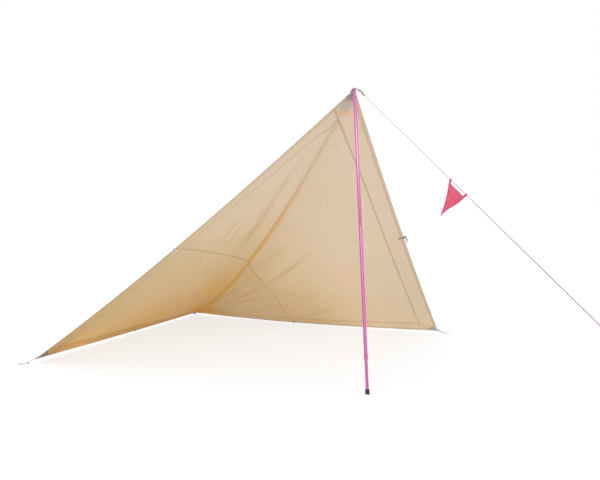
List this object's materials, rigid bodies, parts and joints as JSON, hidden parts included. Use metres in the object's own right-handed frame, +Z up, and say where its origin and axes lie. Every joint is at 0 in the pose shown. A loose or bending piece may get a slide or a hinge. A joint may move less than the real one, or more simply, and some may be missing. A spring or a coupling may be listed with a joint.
{
  "type": "camping tarp",
  "caption": "Square cotton tarp pitched as a lean-to on a telescopic pole, with webbing corners, rings, and a guy line with a pennant.",
  "frame": {"origin": "centre of the pole foot's sole, on the ground", "axes": "+Z up; +Y level, from the pole to the tarp's back corner; +X level, to the right corner"},
  "size_m": [3.8293, 6.7856, 1.8481],
  "materials": {
    "sand_cotton": "matte woven cotton",
    "golden_seam_tape": "matte woven tape",
    "taupe_canvas": "matte canvas",
    "grey_webbing": "matte woven webbing",
    "grey_steel": "dull zinc plated",
    "pink_painted_tube": "smooth satin paint",
    "black_rubber": "matte rubber",
    "raspberry_cord": "braided cord",
    "dark_red_plastic": "matte",
    "pale_grey_cord": "braided cord",
    "crimson_flag_cloth": "matte woven cloth"
  },
  "bodies": {
    "canopy": {"panel_front_left": "sand_cotton", "panel_front_right": "sand_cotton", "panel_rear_left": "sand_cotton", "panel_rear_right": "sand_cotton", "facing_front_left": "sand_cotton", "facing_front_right": "sand_cotton", "facing_rear_left": "sand_cotton", "facing_rear_right": "sand_cotton", "hem_front_left": "sand_cotton", "hem_front_right": "sand_cotton", "hem_rear_left": "sand_cotton", "hem_rear_right": "sand_cotton", "ridge_tape": "golden_seam_tape", "cross_tape_left": "golden_seam_tape", "cross_tape_right": "golden_seam_tape", "patch_apex": "taupe_canvas", "patch_left": "taupe_canvas", "patch_right": "taupe_canvas", "patch_back": "taupe_canvas", "strap_apex": "grey_webbing", "strap_left": "grey_webbing", "strap_right": "grey_webbing", "strap_back": "grey_webbing", "tab_left": "grey_webbing", "tab_right": "grey_webbing", "tab_rear_left": "grey_webbing", "tab_rear_right": "grey_webbing", "apex_eyelet": "grey_steel", "guy_ring": "grey_steel", "peg_loop_left": "pale_grey_cord", "peg_loop_right": "pale_grey_cord", "peg_loop_back": "pale_grey_cord", "guy_bight": "raspberry_cord", "guy_knot": "dark_red_plastic", "guy_line": "raspberry_cord", "guy_end_knot": "dark_red_plastic", "guy_end_loop": "raspberry_cord"},
    "pole": {"tip_plug": "pink_painted_tube", "upper_tube": "pink_painted_tube", "middle_tube": "pink_painted_tube", "joint_ferrule": "grey_steel", "lock_collar": "pink_painted_tube"},
    "lower_pole": {"lower_tube": "pink_painted_tube", "rubber_foot": "black_rubber"},
    "button": {"lock_button": "grey_steel"},
    "runner": {"line_runner": "dark_red_plastic"},
    "flag": {"pennant": "crimson_flag_cloth", "pennant_loop_upper": "crimson_flag_cloth", "pennant_loop_lower": "crimson_flag_cloth"},
    "ring_left": {"dee_left": "grey_steel"},
    "ring_right": {"dee_right": "grey_steel"}
  },
  "joints": [
    {"name": "pole_tilt", "type": "hinge", "parent": "canopy", "child": "pole", "pos_m": [0.01, 0.18, 1.84], "axis": [1, 0, 0], "range_deg": [-15, 20]},
    {"name": "pole_length", "type": "slide", "parent": "pole", "child": "lower_pole", "axis": [-0.0054, -0.0974, -0.9952], "range_m": [-0.1605, 0.2675]},
    {"name": "button_press", "type": "slide", "parent": "pole", "child": "button", "axis": [-0.6039, 0.7936, -0.0744], "range_m": [0, 0.0025], "stiffness_N_per_m": 1500},
    {"name": "runner_slide", "type": "slide", "parent": "canopy", "child": "runner", "axis": [0.0283, -0.8118, -0.5833], "range_m": [0, 0.5]},
    {"name": "pennant_swing", "type": "hinge", "parent": "canopy", "child": "flag", "pos_m": [0.04192, -0.73504, 1.2005], "axis": [0.0283, -0.8118, -0.5833], "continuous": true},
    {"name": "left_ring_swing", "type": "hinge", "parent": "canopy", "child": "ring_left", "pos_m": [-0.9393, 0.97797, 0.84402], "axis": [-0.5964, 0.5335, -0.5997], "range_deg": [-60, 90]},
    {"name": "right_ring_swing", "type": "hinge", "parent": "canopy", "child": "ring_right", "pos_m": [0.88937, 0.94786, 0.91009], "axis": [0.5921, 0.5356, -0.6021], "range_deg": [-90, 50]}
  ]
}
